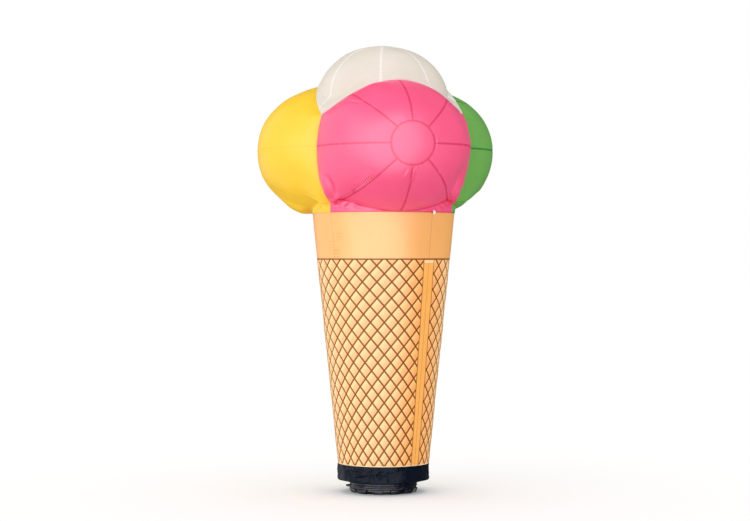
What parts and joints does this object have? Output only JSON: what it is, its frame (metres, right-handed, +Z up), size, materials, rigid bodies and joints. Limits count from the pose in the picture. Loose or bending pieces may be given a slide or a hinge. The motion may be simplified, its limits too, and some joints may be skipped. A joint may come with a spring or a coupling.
{
  "type": "inflatable ice-cream cone with fan",
  "caption": "Tall air-filled cloth ice-cream cone: a waffle-print tapered tube with a plain collar and gored ball scoops on top, standing on a low round fan.",
  "frame": {"origin": "centre of the fan's flat underside, on the cone's upright axis, at the surface it stands on", "axes": "+Z up along the cone's axis; the pink scoop's end cap faces -Y, the green scoop is on the +X side and the yellow one on the -X side"},
  "size_m": [1.6129, 1.5327, 3],
  "materials": {
    "pink_cloth": "coated nylon, soft sheen",
    "yellow_cloth": "coated nylon, soft sheen",
    "green_cloth": "coated nylon, soft sheen",
    "white_cloth": "coated nylon, soft sheen",
    "orange_cloth": "coated nylon, soft sheen",
    "waffle_cloth": "printed coated nylon, soft sheen",
    "black_cloth": "coated nylon, matt",
    "white_webbing": "woven tape",
    "fan_plastic": "moulded, satin"
  },
  "bodies": {
    "root": {"fan_plinth": "fan_plastic", "fan_drum": "fan_plastic", "cable_gland": "fan_plastic", "base_skirt": "black_cloth", "base_band": "black_cloth", "cone": "waffle_cloth", "collar": "orange_cloth", "neck_pink": "pink_cloth", "neck_yellow": "yellow_cloth", "neck_green": "green_cloth", "scoop_pink": "pink_cloth", "scoop_yellow": "yellow_cloth", "scoop_green": "green_cloth", "scoop_white": "white_cloth", "tie_loop": "white_webbing"}
  },
  "joints": []
}
